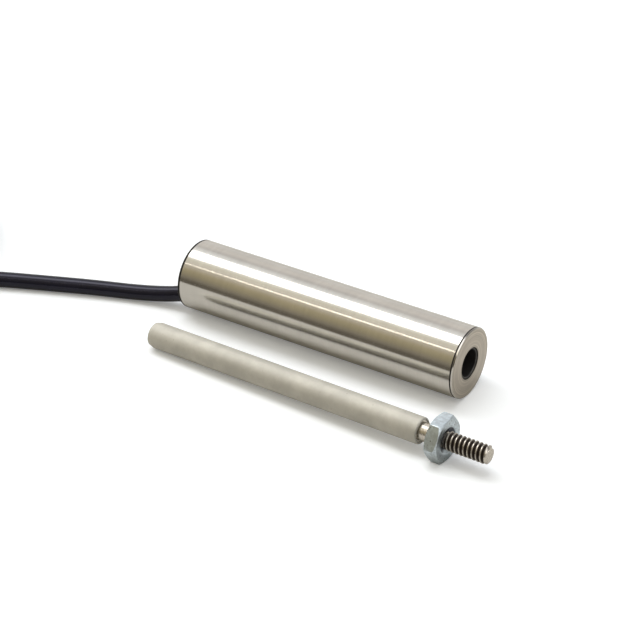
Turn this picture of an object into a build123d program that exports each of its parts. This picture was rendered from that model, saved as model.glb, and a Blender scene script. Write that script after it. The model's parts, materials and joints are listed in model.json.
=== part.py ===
"""Linear position sensor: a wound cylindrical housing with a blind bore, and the loose core rod for it.

Millimetres, +Z up. The origin is the centre of the bore's mouth on the front face, and +X points out
of the mouth. The housing lies on its side, and the core rod lies beside it on its tail's edge and one
flat of its nut.
"""
from build123d import *
from math import atan2, cos, pi, radians, sin, tan
import os

# Housing
body_diameter = 12.7
body_length = 56.25
body_wall = 0.4
cap_flange = 0.35
cap_spigot = 2.2
rim_chamfer = 0.2
seam_chamfer = 0.1

# Bore liner, which is closed at the rear by a plug
liner_diameter = 5.8
bore_diameter = 4.95
liner_recess = 0.15
liner_rim_chamfer = 0.12
liner_length = 49.35
bore_depth = 48.0
plug_seat_diameter = 5.4
plug_head = 0.6

# Winding assembly
coil_start = -3.3
coil_end = -44.1
form_tube_wall = 0.5
form_flange = 0.8
form_diameter = 11.0
winding_diameter = 9.9
winding_shoulder = 0.3
tape_thickness = 0.12
primary_width = 12.4
shield_wall = 0.3
shield_start = -3.1
shield_end = -45.1
washer_thickness = 0.5
lead_hole = 0.9

# Terminal board and its wiring
board_front = -46.4
board_thickness = 0.8
pin_count = 6
pin_circle = 8.9
pin_diameter = 0.6
pin_ends = (-45.9, -48.0)
winding_lead_diameter = 0.25
conductor_diameter = 0.7
conductor_spread = 0.42
conductor_step = (-49.8, -48.8)
conductor_bend = ((-49.9, 20, 4.6), (-49.0, 60, 4.8))

# Cable
cable_diameter = 2.9
cable_hole = 3.0
entry_y, entry_z = -2.5, -3.45
entry_inner_end = -50.6
clamp_diameter = 3.9
clamp_length = 1.8

# Core rod, along its own axis from the tail
rod_diameter = 4.7
rod_bore = 3.9
rod_length = 56.36
nose_length = 1.1
nose_reduction = 0.22
nose_edge = 0.3
nose_seam = 0.05
nose_spigot = 2.0
rod_rim_round = 0.4
rod_rim_fall = 0.25
rod_rim_step = 0.4
rod_mouth_chamfer = 0.1
core_length = 22.0
core_edge = 0.2
spacer_bore = 2.4
shank_length = 4.6
stud_tip = 69.0
stud_diameter = 3.3
neck_diameter = 3.2
stud_root = 2.8
tip_chamfer = 0.5

# Nut on the stud
nut_flats = 7.5
nut_thickness = 2.4
nut_middle = 60.08
nut_chamfer_share = 0.97
nut_chamfer_angle = 30
nut_cone_margin = 0.2
nut_bore = 2.9
countersink_diameter = 4.8
countersink_depth = 0.55
relief_rear = 0.28
relief_front = 0.05

# Where the core rod lies
rod_tail_x, rod_tail_y = -55.21, -15.245
rod_turn = -2.48

# Cable route on the floor, and the coil of its unseen length
floor_z = -body_diameter / 2
coil_x, coil_y = -121.0, -13.0
coil_columns = (17.9, 15.0, 12.1)
coil_layers = 3
coil_lift = 0.4
coil_start_angle = -49.6
top_turn_share = 0.85
coil_tie_width = 2.5
coil_tie_angle = 130.0

# Flying leads at the far end of the cable
lead_wire_diameter = 0.8
lead_wire_length = 12.0
lead_tip_length = 4.0
lead_tip_diameter = 0.5
lead_fan = 7.0

# Worked out from the sizes above
cable_radius = cable_diameter / 2
tube_bore = body_diameter - 2 * body_wall
cable_floor = floor_z + cable_radius
flange_widths = 4 * form_flange
secondary_width = (coil_start - coil_end - flange_widths - primary_width) / 2
coil_base = floor_z + coil_lift
coil_top = coil_base + coil_layers * cable_diameter
groove_radius = (coil_columns[1] + coil_columns[2]) / 2
start_angle = radians(coil_start_angle)
coil_entry = (
    coil_x + coil_columns[0] * cos(start_angle),
    coil_y + coil_columns[0] * sin(start_angle),
    coil_base + cable_radius,
)

# The cable drops to the floor, lies almost straight, then swings into the coil
cable_route = [
    (-body_length, entry_y, entry_z),
    (-57.85, entry_y, entry_z),
    (-60.85, -3.15, -4.25),
    (-66.65, -4.75, cable_floor),
    (-74.25, -7.3, cable_floor),
    (-83.05, -10.75, cable_floor),
    (-93.05, -14.75, cable_floor),
    (-102.3, -20.6, -4.8),
    coil_entry,
]


def turned(*outline):
    """A body of revolution about X from its closed outline of (x, radius) points."""
    return revolve(make_face(Polyline(*outline, close=True)), Axis.X)


def rod(radius, x0, x1, y=0.0, z=0.0):
    """A plain round bar along X."""
    return Plane((x0, y, z), x_dir=(0, 1, 0), z_dir=(1, 0, 0)) * extrude(Circle(radius), amount=x1 - x0)


def sleeve(outer, inner, x0, x1):
    """A plain tube along X."""
    return turned((x0, inner), (x1, inner), (x1, outer), (x0, outer))


def corner_radii(points):
    """The largest tangent arc that each inner corner of a route has room for."""
    radii = []
    for before, here, after in zip(points, points[1:], points[2:]):
        run_in, run_out = Vector(here) - Vector(before), Vector(after) - Vector(here)
        half_turn = radians(run_in.get_angle(run_out)) / 2
        radii.append(0.45 * min(run_in.length, run_out.length) / tan(half_turn))
    return radii


def tube_along(points, radius, report=None):
    """A round solid along straight runs joined by tangent arcs."""
    radii = corner_radii(points)
    path = FilletPolyline(*points, radius=radii)
    start = Plane(path @ 0, z_dir=path % 0)
    solid = sweep(start * Circle(radius), path=path)
    if report:
        ideal = pi * radius**2 * path.length
        print(f"{report}: arc radii {[round(r, 1) for r in radii]}, length {path.length:.2f},",
              f"volume over section times length {solid.volume / ideal:.4f}")
    return solid


def around(angle, radius):
    """A (y, z) place at an angle about the housing's axis."""
    return radius * cos(angle), radius * sin(angle)


# Housing pieces


def housing_tube():
    r, bore = body_diameter / 2, tube_bore / 2
    x0, x1, c = -body_length + cap_flange, -cap_flange, seam_chamfer
    return turned((x0, bore), (x1, bore), (x1, r - c), (x1 - c, r), (x0 + c, r), (x0, r - c))


def cap_outline(hole):
    """Section of an end cap whose outer face is at x = 0 and whose spigot points along -X."""
    r, bore, c = body_diameter / 2, tube_bore / 2, seam_chamfer
    inner = -cap_flange - cap_spigot
    return [(0, hole), (0, r - rim_chamfer), (-rim_chamfer, r), (c - cap_flange, r), (-cap_flange, r - c),
            (-cap_flange, bore), (inner + c, bore), (inner, bore - c), (inner, hole)]


def front_cap():
    return turned(*cap_outline(liner_diameter / 2))


def rear_cap():
    cap = Pos(-body_length, 0, 0) * mirror(turned(*cap_outline(0)), about=Plane.YZ)
    inner_face = -body_length + cap_flange + cap_spigot
    return cap - rod(cable_hole / 2, -body_length - 1, inner_face + 1, entry_y, entry_z)


def bore_liner():
    """A thin tube whose rear end is opened out as the plug's seat."""
    outer, inner, seat, c = liner_diameter / 2, bore_diameter / 2, plug_seat_diameter / 2, liner_rim_chamfer
    x1 = -liner_recess
    x0 = x1 - liner_length
    return turned((x0, seat), (-bore_depth, seat), (-bore_depth, inner), (x1 - c, inner), (x1, inner + c),
                  (x1, outer), (x0, outer))


def bore_end_plug():
    head_face = -liner_recess - liner_length
    outer, seat = liner_diameter / 2, plug_seat_diameter / 2
    return turned((-bore_depth, 0), (-bore_depth, seat), (head_face, seat), (head_face, outer),
                  (head_face - plug_head, outer), (head_face - plug_head, 0))


# Winding pieces


def winding_windows():
    """The start and end of each winding, from the front: secondary, primary, secondary."""
    windows, x = [], coil_start
    for width in (secondary_width, primary_width, secondary_width):
        x -= form_flange
        windows.append((x - width, x))
        x -= width
    return windows


def lead_holes(x0, x1):
    """The ring of holes that the winding leads pass through on their way to the pins."""
    holes = [rod(lead_hole / 2, x0, x1, *around(angle, pin_circle / 2)) for angle in pin_angles()]
    return Compound(holes)


def coil_form():
    """A tube with four flanges, which part its three windings."""
    bore = liner_diameter / 2
    waist, rim = bore + form_tube_wall, form_diameter / 2
    outline = [(coil_end, bore), (coil_end, rim)]
    for x0, x1 in reversed(winding_windows()):
        outline += [(x0, rim), (x0, waist), (x1, waist), (x1, rim)]
    outline += [(coil_start, rim), (coil_start, bore)]
    form = turned(*outline)
    return form - lead_holes(coil_end - 1, coil_end + form_flange)


def winding(window):
    """One layer-wound coil, with slightly sloped shoulders against the flanges."""
    x0, x1 = window
    waist, outer, c = liner_diameter / 2 + form_tube_wall, winding_diameter / 2, winding_shoulder
    return turned((x0, waist), (x1, waist), (x1, outer - c), (x1 - c, outer), (x0 + c, outer),
                  (x0, outer - c))


def winding_tape():
    """An insulating wrap over each winding."""
    inner, c = winding_diameter / 2, winding_shoulder
    return Compound([sleeve(inner + tape_thickness, inner, x0 + c, x1 - c) for x0, x1 in winding_windows()])


def magnetic_shield():
    return sleeve(tube_bore / 2, tube_bore / 2 - shield_wall, shield_end, shield_start)


def shield_washer(x0):
    return sleeve(tube_bore / 2, liner_diameter / 2, x0, x0 + washer_thickness)


def front_shield_washer():
    return shield_washer(shield_start)


def rear_shield_washer():
    x0 = shield_end - washer_thickness
    return shield_washer(x0) - lead_holes(x0 - 1, shield_end + 1)


# Terminal board and wiring


def pin_angles():
    """Six even places, with the cable's side between two of them."""
    cable_side = atan2(entry_z, entry_y)
    return [cable_side + pi / pin_count + 2 * pi * k / pin_count for k in range(pin_count)]


def terminal_board():
    x0, r = board_front - board_thickness, pin_diameter / 2
    board = sleeve(tube_bore / 2, liner_diameter / 2, x0, board_front)
    pin_holes = [rod(r, x0 - 1, board_front + 1, *around(a, pin_circle / 2)) for a in pin_angles()]
    return board - Compound(pin_holes)


def terminal_pins():
    front, rear = pin_ends
    return Compound([rod(pin_diameter / 2, rear, front, *around(a, pin_circle / 2)) for a in pin_angles()])


def winding_leads():
    """The six fine wire ends, from the form's rear flange to the pins."""
    x0, x1 = pin_ends[0], coil_end + form_flange
    leads = [rod(winding_lead_diameter / 2, x0, x1, *around(a, pin_circle / 2)) for a in pin_angles()]
    return Compound(leads)


def cable_conductors():
    """The four cores of the cable, each to its own pin, the outer two round the bore liner."""
    solids = []
    cable_side = atan2(entry_z, entry_y)
    for side in (-1, 1):
        for k in (0, 1):
            end_angle = cable_side + side * (pi / pin_count + k * 2 * pi / pin_count)
            y0 = entry_y + conductor_spread * (cos(cable_side) * (1 - 2 * k) - side * sin(cable_side))
            z0 = entry_z + conductor_spread * (sin(cable_side) * (1 - 2 * k) + side * cos(cable_side))
            pin_y, pin_z = around(end_angle, pin_circle / 2)
            if k == 0:
                middle = [(conductor_step[0], y0, z0), (conductor_step[1], pin_y, pin_z)]
            else:
                middle = [(x, *around(cable_side + side * radians(a), r)) for x, a, r in conductor_bend]
            route = [(entry_inner_end, y0, z0), *middle, (pin_ends[1], pin_y, pin_z)]
            solids.append(tube_along(route, conductor_diameter / 2))
    return Compound(solids)


# Cable and its fittings


def cable_entry():
    """The end of the jacket, bonded in the rear cap's hole."""
    return rod(cable_hole / 2, -body_length, entry_inner_end, entry_y, entry_z)


def cable_clamp():
    """A crimped ring behind the rear cap, which keeps the cable from being pulled out."""
    x0 = -body_length + cap_flange + cap_spigot
    ring = rod(clamp_diameter / 2, x0, x0 + clamp_length, entry_y, entry_z)
    shell = rod(tube_bore / 2, x0, x0 + clamp_length)
    return (ring & shell) - rod(cable_hole / 2, x0 - 1, x0 + clamp_length + 1, entry_y, entry_z)


def sensor_cable():
    return tube_along(cable_route, cable_radius, "sensor_cable")


def drawn_tight(turns, radius):
    """A face drawn tight round the eight-sided sections of some turns, each given by (radius, height)."""
    section = RegularPolygon(radius, 8, major_radius=False, rotation=22.5)
    return Plane.XZ * make_hull([edge for r, z in turns for edge in (Pos(r, z) * section).edges()])


def bundle_turns():
    """The four corner turns of the bundle, and the top turn in its groove with the two that carry it."""
    low, high = coil_base + cable_radius, coil_top - cable_radius
    corners = [(r, z) for r in (coil_columns[0], coil_columns[-1]) for z in (low, high)]
    top_turn = (groove_radius, high + cable_diameter * sin(pi / 3))
    return corners, [(coil_columns[1], high), (coil_columns[2], high), top_turn]


def top_turn_end():
    """The angle in degrees at which the cable's last turn stops."""
    return coil_start_angle + 360 * (1 - top_turn_share)


def cable_coil():
    """The outer shape of the wound length: three turns wide, three high, and most of a turn on top."""
    corners, groove = bundle_turns()
    ring = revolve(drawn_tight(corners, cable_radius), Axis.Z)
    top_turn = revolve(drawn_tight(groove, cable_radius), Axis.Z, revolution_arc=360 * top_turn_share)
    return Pos(coil_x, coil_y, 0) * (ring + Rot(0, 0, top_turn_end()) * top_turn)


def coil_tie():
    """A flat strap pulled tight round the bundle of turns."""
    corners, groove = bundle_turns()
    turns = corners + groove
    band = drawn_tight(turns, cable_radius + coil_lift) - drawn_tight(turns, cable_radius)
    strap = extrude(band, amount=coil_tie_width / 2, both=True)
    return Pos(coil_x, coil_y, 0) * (Rot(0, 0, coil_tie_angle) * strap)


def lead_frame():
    """Where the jacket ends on the top turn: its X runs on along the cable, its Z is up."""
    angle = radians(top_turn_end())
    y, z = coil_y + groove_radius * sin(angle), coil_top + lead_wire_diameter / 2
    place = (coil_x + groove_radius * cos(angle), y, z)
    return Plane(place, x_dir=(sin(angle), -cos(angle), 0), z_dir=(0, 0, 1))


def fanned(length_from, length_to, radius):
    """Four round bars side by side on the coil's top, fanned out from the jacket's end."""
    bars = []
    for k in range(4):
        turn, shift = lead_fan * (k - 1.5), lead_wire_diameter * 1.1 * (k - 1.5)
        bar = Rot(0, 0, turn) * rod(radius, length_from, length_to)
        bars.append(lead_frame().location * (Pos(0, shift, 0) * bar))
    return Compound(bars)


def lead_wires():
    return fanned(0, lead_wire_length - lead_tip_length, lead_wire_diameter / 2)


def lead_tips():
    return fanned(lead_wire_length - lead_tip_length, lead_wire_length, lead_tip_diameter / 2)


# Core rod pieces, each made along X from the tail and then laid in place


def resting_tilt():
    """How far the rod's axis climbs, lying on its tail's edge and on the nut's rear edge."""
    return atan2((nut_flats - rod_diameter) / 2, nut_middle - nut_thickness / 2 - nose_length)


def laid(piece):
    tilt, turn = resting_tilt(), radians(rod_turn)
    height = floor_z + rod_diameter / 2 * cos(tilt) - nose_length * sin(tilt)
    along = (cos(tilt) * cos(turn), cos(tilt) * sin(turn), sin(tilt))
    across = (-sin(tilt) * cos(turn), -sin(tilt) * sin(turn), cos(tilt))
    return Plane((rod_tail_x, rod_tail_y, height), x_dir=along, z_dir=across).location * piece


def core_tube():
    """A thin tube with a rounded front rim."""
    r, bore, c = rod_diameter / 2, rod_bore / 2, rod_mouth_chamfer
    arc_start = (rod_length - rod_rim_round, r)
    arc_middle = (rod_length - rod_rim_round * (1 - sin(pi / 4)), r - rod_rim_fall * (1 - cos(pi / 4)))
    arc_end = (rod_length, r - rod_rim_fall)
    wall = Polyline(arc_end, (rod_length, bore + c), (rod_length - c, bore), (nose_length, bore),
                    (nose_length, r), arc_start)
    rim = ThreePointArc(arc_start, arc_middle, arc_end)
    return laid(revolve(make_face([*wall.edges(), rim]), Axis.X))


def core_end_plug():
    """The tapered nose at the tail, on a spigot in the tube."""
    r, tip, spigot = rod_diameter / 2, rod_diameter / 2 - nose_reduction, rod_bore / 2
    inner_end = nose_length + nose_spigot
    return laid(turned((0, 0), (0, tip - nose_edge), (nose_edge, tip), (nose_length, r - nose_seam),
                       (nose_length, spigot), (inner_end, spigot), (inner_end, 0)))


def core_places():
    """Where the magnetic core ends, and where the stud's shank begins."""
    return nose_length + nose_spigot + core_length, rod_length - rod_rim_step - shank_length


def magnetic_core():
    c, r, x0, x1 = core_edge, rod_bore / 2, nose_length + nose_spigot, core_places()[0]
    return laid(turned((x0, 0), (x0, r - c), (x0 + c, r), (x1 - c, r), (x1, r - c), (x1, 0)))


def core_spacer():
    return laid(sleeve(rod_bore / 2, spacer_bore / 2, *core_places()))


def threaded_stud():
    """The shank fixed in the rod, its neck, and the threaded end, relieved inside the nut."""
    shank, neck, root, crest = rod_bore / 2, neck_diameter / 2, stud_root / 2, stud_diameter / 2
    face = rod_length - rod_rim_step
    relief_start = nut_middle - nut_thickness / 2 + relief_rear
    relief_end = nut_middle + nut_thickness / 2 - relief_front
    return laid(turned((core_places()[1], 0), (core_places()[1], shank), (face, shank), (face, neck),
                       (relief_start, neck), (relief_start, root), (relief_end, root), (relief_end, crest),
                       (stud_tip - tip_chamfer, crest), (stud_tip, crest - tip_chamfer), (stud_tip, 0)))


def hex_nut():
    """A hexagon cut by a cone at each face, with a countersunk hole. A flat is underneath."""
    half, past_corner = nut_thickness / 2, nut_flats / 2 / cos(pi / 6) + nut_cone_margin
    prism = Plane.YZ * extrude(RegularPolygon(nut_flats / 2, 6, major_radius=False), amount=half, both=True)
    face_circle = nut_chamfer_share * nut_flats / 2
    fall = (past_corner - face_circle) * tan(radians(nut_chamfer_angle))
    cones = turned((-half, 0), (-half, face_circle), (fall - half, past_corner), (half - fall, past_corner),
                   (half, face_circle), (half, 0))
    sink, bore = countersink_diameter / 2, nut_bore / 2
    hole = turned((-half - 1, 0), (-half - 1, sink), (-half, sink), (countersink_depth - half, bore),
                  (half - countersink_depth, bore), (half, sink), (half + 1, sink), (half + 1, 0))
    return laid(Pos(nut_middle, 0, 0) * ((prism & cones) - hole))


winding_names = ("front_secondary_winding", "primary_winding", "rear_secondary_winding")
windings = dict(zip(winding_names, winding_windows()))

builders = [housing_tube, front_cap, rear_cap, bore_liner, bore_end_plug, coil_form, winding_tape,
            magnetic_shield, front_shield_washer, rear_shield_washer, terminal_board, terminal_pins,
            winding_leads, cable_conductors, cable_entry, cable_clamp, sensor_cable, cable_coil, coil_tie,
            lead_wires, lead_tips, core_tube, core_end_plug, magnetic_core, core_spacer, threaded_stud,
            hex_nut]

os.makedirs("parts", exist_ok=True)
for builder in builders:
    export_step(builder(), f"parts/{builder.__name__}.step")
for name, window in windings.items():
    export_step(winding(window), f"parts/{name}.step")
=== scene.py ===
"""Dresses the linear position sensor: its turned steel housing, its cable and its loose core rod.

Everything is in metres, in the frame of the CAD model: the origin is the centre of the bore's mouth,
+X points out of it and +Z up. The file is laid out as an add-on, with one operator for each piece.
"""
import json
from math import atan2, ceil, cos, hypot, pi, radians, sin, tan

import bmesh
import bpy
from bpy.props import FloatProperty, FloatVectorProperty, PointerProperty
from mathutils import Matrix

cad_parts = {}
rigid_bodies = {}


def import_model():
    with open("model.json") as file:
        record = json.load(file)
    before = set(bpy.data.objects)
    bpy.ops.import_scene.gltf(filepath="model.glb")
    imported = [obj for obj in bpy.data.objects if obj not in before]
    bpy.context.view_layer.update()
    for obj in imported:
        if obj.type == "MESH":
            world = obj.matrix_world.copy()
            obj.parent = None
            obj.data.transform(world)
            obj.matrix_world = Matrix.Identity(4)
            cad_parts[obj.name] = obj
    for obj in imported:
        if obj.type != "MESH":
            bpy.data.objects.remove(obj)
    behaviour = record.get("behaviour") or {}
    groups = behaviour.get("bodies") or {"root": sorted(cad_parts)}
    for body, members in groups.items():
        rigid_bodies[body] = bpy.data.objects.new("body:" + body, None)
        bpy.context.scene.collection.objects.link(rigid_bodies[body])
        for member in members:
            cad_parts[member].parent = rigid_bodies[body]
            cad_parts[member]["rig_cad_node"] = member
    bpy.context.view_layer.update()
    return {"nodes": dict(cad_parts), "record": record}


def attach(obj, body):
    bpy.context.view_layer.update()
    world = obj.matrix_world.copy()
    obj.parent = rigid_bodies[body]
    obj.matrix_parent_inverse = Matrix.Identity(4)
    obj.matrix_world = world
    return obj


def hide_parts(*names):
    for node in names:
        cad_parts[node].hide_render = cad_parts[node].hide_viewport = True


bl_info = {
    "name": "Linear Position Sensor",
    "version": (1, 0, 0),
    "blender": (4, 5, 0),
    "location": "View3D > Sidebar > Sensor",
    "description": "Models and finishes a cylindrical position sensor and its core rod",
    "category": "Object",
}

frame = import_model()
record_colours = {m["slot"]: m["base_color"] for m in frame["record"]["materials"]}

MM = 0.001
SMALLEST = 1e-7
ROUND_STEPS = 160
SUPPORT = 0.07 * MM
FINE_EDGE = 0.02 * MM
SOFT_EDGE = 0.04 * MM
COIL_RADIUS = 15 * MM
THREAD_FLANK = radians(30)


def size(name, millimetres, description):
    return FloatProperty(name=name, description=description, default=millimetres * MM, unit="LENGTH",
                         subtype="DISTANCE", precision=5)


def turn(name, degrees, description):
    return FloatProperty(name=name, description=description, default=radians(degrees), subtype="ANGLE")


def amount(name, value, description, **limits):
    return FloatProperty(name=name, description=description, default=value, **limits)


def colour(name, description, default):
    return FloatVectorProperty(name=name, description=description, default=default, size=3, min=0, max=1,
                               subtype="COLOR")


def place(name, millimetres, description):
    return FloatVectorProperty(name=name, description=description, default=[v * MM for v in millimetres],
                               size=3, subtype="XYZ", unit="LENGTH")


# Sizes and colours


class HousingSettings(bpy.types.PropertyGroup):
    diameter: size("Diameter", 12.7, "Outer diameter of the barrel")
    length: size("Length", 56.25, "Length over both end caps")
    wall: size("Wall", 0.4, "Wall of the barrel")
    flange: size("Cap flange", 0.35, "Part of an end cap that shows outside the barrel")
    spigot: size("Cap spigot", 2.2, "Part of an end cap inside the barrel")
    rim: size("Rim chamfer", 0.2, "Chamfer round an end face")
    seam: size("Seam chamfer", 0.1, "Each side of the groove between cap and barrel")
    # Painted shade: the seams' dark bands stand in for shade and dark reflection in the grooves between cap
    # and barrel
    front_seam_shade: size("Front dirt", 0.13, "Half the width of the dirt in the front seam")
    rear_seam_shade: size("Rear dirt", 0.21, "Half the width of the dirt in the rear seam")
    edge: size("Edge rounding", 0.02, "Wear on the sharp edges")
    liner_diameter: size("Liner diameter", 5.8, "Outer diameter of the bore's liner")
    bore_diameter: size("Bore diameter", 4.95, "Bore that the core rod runs in")
    bore_depth: size("Bore depth", 48.0, "Depth of the bore")
    liner_recess: size("Liner recess", 0.15, "How far the liner lies back from the front face")
    liner_mouth: size("Liner chamfer", 0.12, "Chamfer at the liner's mouth")
    liner_length: size("Liner length", 49.35, "Length of the liner")
    seat_diameter: size("Plug seat", 5.4, "Opened-out rear end of the liner")
    steel: colour("Steel", "Turned stainless steel", record_colours["housing_steel"])
    # Colour of the painted shade in the seam grooves
    painted_shade: colour("Grime", "Dirt in the seams", (0.02, 0.018, 0.016))


class RodSettings(bpy.types.PropertyGroup):
    diameter: size("Diameter", 4.7, "Outer diameter of the core rod")
    bore: size("Bore", 3.9, "Bore of its tube")
    length: size("Length", 56.36, "From the tail to the tube's front rim")
    nose: size("Nose", 1.1, "Length of the tapered tail")
    nose_fall: size("Nose taper", 0.22, "How much smaller the tail's end is")
    nose_edge: size("Nose edge", 0.48, "How far the chamfer round the tail's face comes in")
    nose_bevel: size("Nose bevel", 0.3, "How far that chamfer reaches along the tail")
    nose_seam: size("Nose seam", 0.05, "Step between tail and tube")
    nose_spigot: size("Nose spigot", 2.0, "Part of the tail inside the tube")
    rim_round: size("Rim length", 0.4, "Length of the rounded front rim")
    rim_fall: size("Rim fall", 0.25, "Fall of the rounded front rim")
    face_step: size("Face recess", 0.2, "How far the stud's shank lies back from the rim")
    shank: size("Shank", 4.6, "Part of the stud inside the tube")
    neck: size("Neck", 3.2, "Diameter of the plain neck")
    crest: size("Thread crest", 3.3, "Outer diameter of the thread")
    relief: size("Relief", 2.8, "Diameter inside the nut")
    relief_start: size("Relief start", 59.16, "Where the relief begins, from the tail")
    relief_end: size("Relief end", 61.23, "Where the full thread begins, from the tail")
    tip: size("Tip", 69.25, "Where the stud ends, from the tail")
    tip_chamfer: size("Tip chamfer", 0.42, "Chamfer of the tip")
    pitch: size("Pitch", 0.8, "Pitch of the right-hand thread")
    thread_depth: size("Thread depth", 0.48, "From crest to root")
    root_flat: size("Root width", 0.16, "Flat at the bottom of the thread")
    tail: place("Tail", (-55.21, -15.245, 0.0), "Where the tail's middle lies, seen from above")
    turned_by: turn("Turn", -2.48, "Turn from the housing's direction")
    steel: colour("Steel", "Drawn stainless steel", record_colours["rod_steel"])
    thread_steel: colour("Thread", "Bright turned thread", record_colours["stud_steel"])


class NutSettings(bpy.types.PropertyGroup):
    flats: size("Across flats", 7.5, "Width across flats")
    thickness: size("Thickness", 2.4, "Thickness of the nut")
    middle: size("Middle", 60.08, "Where its middle is, from the rod's tail")
    bore: size("Bore", 2.9, "Bore of the nut")
    sink: size("Countersink", 4.8, "Diameter of the countersink")
    sink_depth: size("Countersink depth", 0.55, "Depth of the countersink")
    corner: size("Corner rounding", 0.09, "Rounding of the six corners")
    edge: size("Edge rounding", 0.02, "Rounding of the edges")
    face_share: amount("Face circle", 0.97,
                       "Face circle of the chamfer, as a share of the width across flats", min=0.8, max=1)
    chamfer: turn("Chamfer", 30, "Angle of the chamfer to the face")
    zinc: colour("Zinc", "Bright zinc plate", record_colours["nut_zinc"])


class CableSettings(bpy.types.PropertyGroup):
    diameter: size("Diameter", 2.9, "Outer diameter of the jacket")
    length: amount("Length", 0.9, "Length outside the housing", unit="LENGTH")
    coil_middle: place("Coil middle", (-121.0, -13.0, 0.0), "Middle of the put-away coil")
    coil_lift: size("Coil lift", 0.4, "How far the tie lifts the coil off the floor")
    coil_start: turn("Coil start", -49.6, "Where the cable enters the coil")
    point_step: turn("Point step", 15, "Angle between two points of the cable's line in the coil")
    tie_angle: turn("Tie angle", 130, "Where the tie is on the coil")
    tie_width: size("Tie width", 2.5, "Width of the tie")
    tie_thickness: size("Tie thickness", 0.4, "Thickness of the tie")
    wire: size("Lead diameter", 0.8, "Diameter of a flying lead")
    wire_length: size("Lead length", 8.0, "Insulated length of a flying lead")
    tip: size("Bare end diameter", 0.5, "Diameter of a lead's bare end")
    tip_length: size("Bare end length", 4.0, "Length of a lead's bare end")
    fan: turn("Fan", 7, "Angle between two leads")
    jacket: colour("Jacket", "Smooth blue-black jacket", (0.006, 0.006, 0.015))


class StageSettings(bpy.types.PropertyGroup):
    camera: place("Camera", (150.2, -276.2, 215.94), "Where the camera stands")
    lens: amount("Lens", 126.57, "Focal length in millimetres", min=1)
    floor_size: amount("Floor", 8.0, "Width of the floor", unit="LENGTH")
    floor: colour("Floor colour", "White table, as the camera sees it", (0.9, 0.94, 0.99))
    table: colour("Table in reflections", "White table, as the metal shows it", (0.6, 0.595, 0.58))
    table_edge: amount("Table edge", -0.09, "Front edge of the table in reflections", unit="LENGTH")
    floor_glow: amount("Floor white", 0.17, "Light that the floor adds for the camera", min=0, max=1)
    mirrored_glow: amount("Mirrored white", 0.01, "Light that the floor adds for reflections", min=0, max=1)
    softbox: amount("Softbox", 3.0, "Strength of the light overhead", min=0)
    strip: amount("Strip", 7.0, "Strength of the narrow light in front", min=0)
    side: amount("Side light", 1.3, "Strength of the light to the right", min=0)
    right_fall: amount("Right fall", 0.6, "How much darker the studio is to the right", min=0, max=1)


class SensorSettings(bpy.types.PropertyGroup):
    housing: PointerProperty(type=HousingSettings)
    rod: PointerProperty(type=RodSettings)
    nut: PointerProperty(type=NutSettings)
    cable: PointerProperty(type=CableSettings)
    stage: PointerProperty(type=StageSettings)


# Modelling by hand


def clear_selection():
    """Leaves edit mode and deselects everything."""
    if bpy.context.mode != "OBJECT":
        bpy.ops.object.mode_set(mode="OBJECT")
    bpy.ops.object.select_all(action="DESELECT")


def pick(piece):
    clear_selection()
    piece.select_set(True)
    bpy.context.view_layer.objects.active = piece


def added(name, primitive, **sizes):
    """Adds a primitive, with its place kept in its mesh."""
    clear_selection()
    primitive(**sizes)
    piece = bpy.context.object
    piece.name = name
    bpy.ops.object.transform_apply()
    return piece


def modified(piece, kind, **values):
    """Adds a modifier, sets it and applies it."""
    pick(piece)
    bpy.ops.object.modifier_add(type=kind)
    modifier = piece.modifiers[-1]
    for name, value in values.items():
        setattr(modifier, name, value)
    bpy.ops.object.modifier_apply(modifier=modifier.name)
    return piece


def select_where(piece, wanted):
    """Selects the vertices at places that pass a test, in edit mode."""
    bpy.ops.mesh.select_mode(type="VERT")
    bpy.ops.mesh.select_all(action="DESELECT")
    mesh = bmesh.from_edit_mesh(piece.data)
    for vertex in mesh.verts:
        vertex.select_set(wanted(vertex.co))
    mesh.select_flush(True)
    bmesh.update_edit_mesh(piece.data)


def close_up(piece, bridge=False):
    """Closes a shape that is open at its ends, and points its faces outwards."""
    bpy.ops.mesh.select_all(action="SELECT")
    bpy.ops.mesh.remove_doubles(threshold=SMALLEST)
    if bridge:
        bpy.ops.mesh.select_all(action="DESELECT")
        bpy.ops.mesh.select_mode(type="EDGE")
        bpy.ops.mesh.select_non_manifold(extend=False, use_wire=False, use_multi_face=False,
                                         use_non_contiguous=False, use_verts=False)
        bpy.ops.mesh.bridge_edge_loops()
    else:
        bpy.ops.mesh.fill_holes(sides=0)
    bpy.ops.mesh.select_all(action="SELECT")
    bpy.ops.mesh.normals_make_consistent(inside=False)
    bpy.ops.object.mode_set(mode="OBJECT")
    return piece


def supported(outline, closed):
    """The outline with extra corners near the ends of its long runs, which keep rounding local."""
    runs = list(zip(outline, outline[1:] + outline[:1] if closed else outline[1:]))
    corners = []
    for (x0, r0), (x1, r1) in runs:
        corners.append((x0, r0))
        run = hypot(x1 - x0, r1 - r0)
        if run > 4 * SUPPORT:
            for share in (SUPPORT / run, 1 - SUPPORT / run):
                corners.append((x0 + (x1 - x0) * share, r0 + (r1 - r0) * share))
    return corners if closed else corners + [outline[-1]]


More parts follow.
